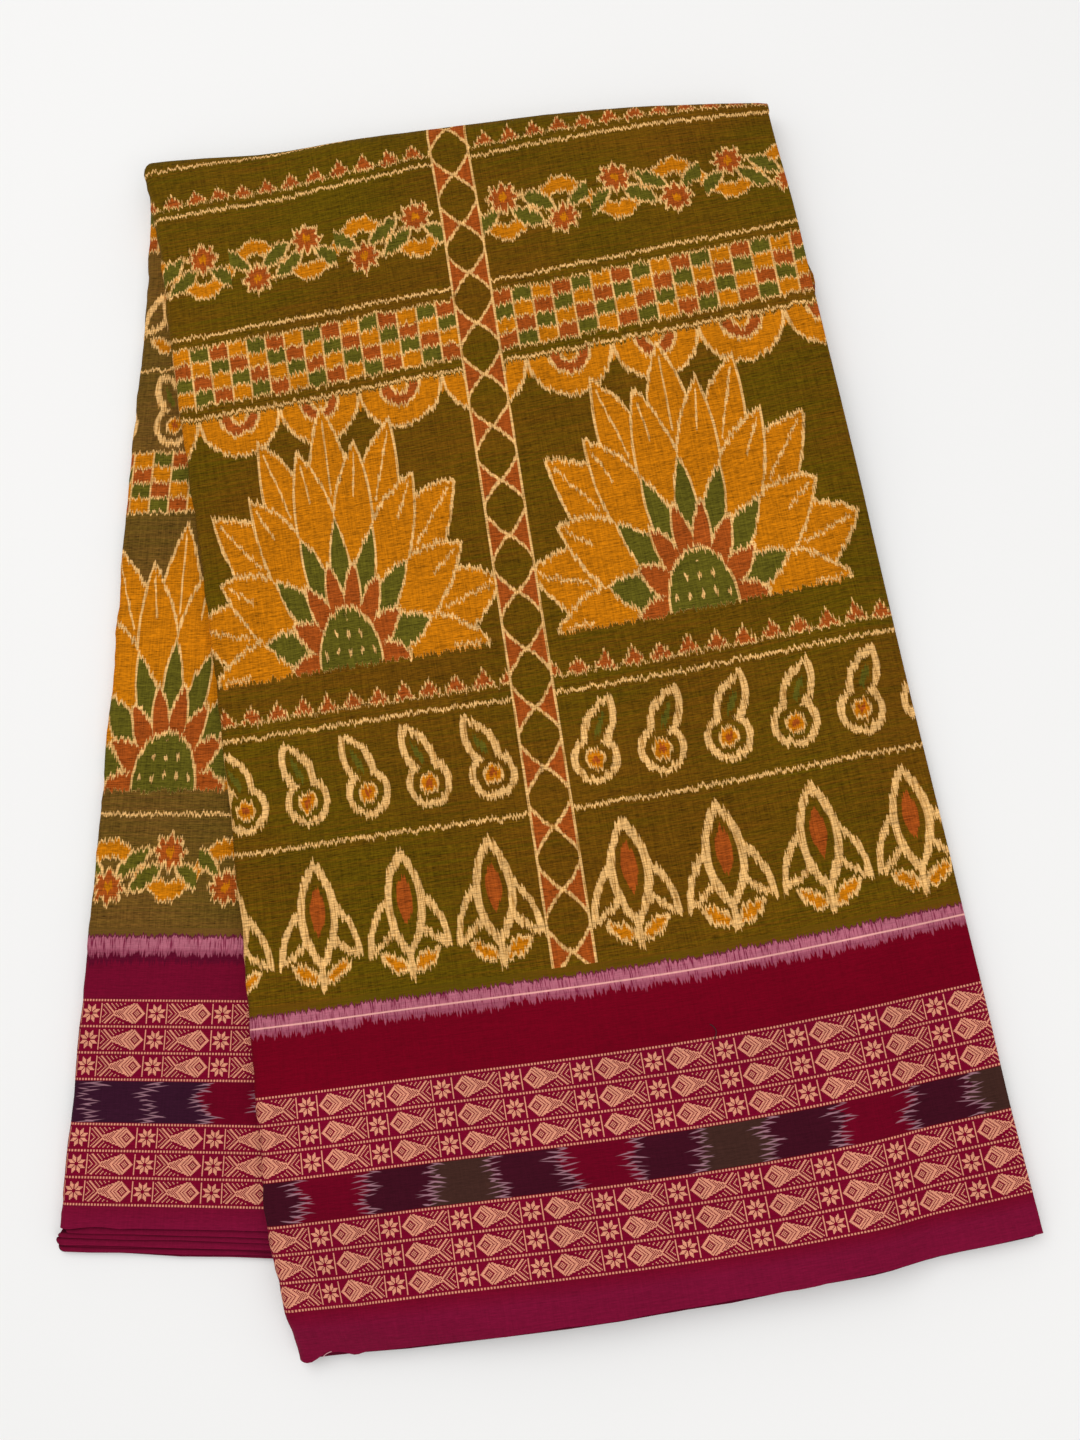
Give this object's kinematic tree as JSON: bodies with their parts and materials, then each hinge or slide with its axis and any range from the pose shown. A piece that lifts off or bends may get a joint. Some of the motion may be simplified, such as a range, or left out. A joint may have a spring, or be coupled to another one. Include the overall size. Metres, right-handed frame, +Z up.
{
  "type": "folded saree",
  "caption": "Handloom saree folded into a flat strip and turned over on itself a little askew, with a woven border along its hems.",
  "frame": {"origin": "middle of the box that holds the folded saree, on the surface it lies on", "axes": "+Z up from that surface, +Y towards the top fold, along the lower half, +X to the right seen from the hems"},
  "size_m": [0.4558, 0.6474, 0.0195],
  "materials": {
    "field_cloth": "handwoven silk, matt with a slight sheen",
    "border_cloth": "handwoven silk with extra-weft motifs",
    "field_layers": "cloth edges",
    "border_layers": "cloth edges"
  },
  "bodies": {
    "root": {"front_field": "field_cloth", "front_border": "border_cloth", "back_field": "field_cloth", "back_border": "border_cloth", "folded_layers": "field_layers", "front_hems": "border_layers", "back_hems": "border_layers"}
  },
  "joints": []
}
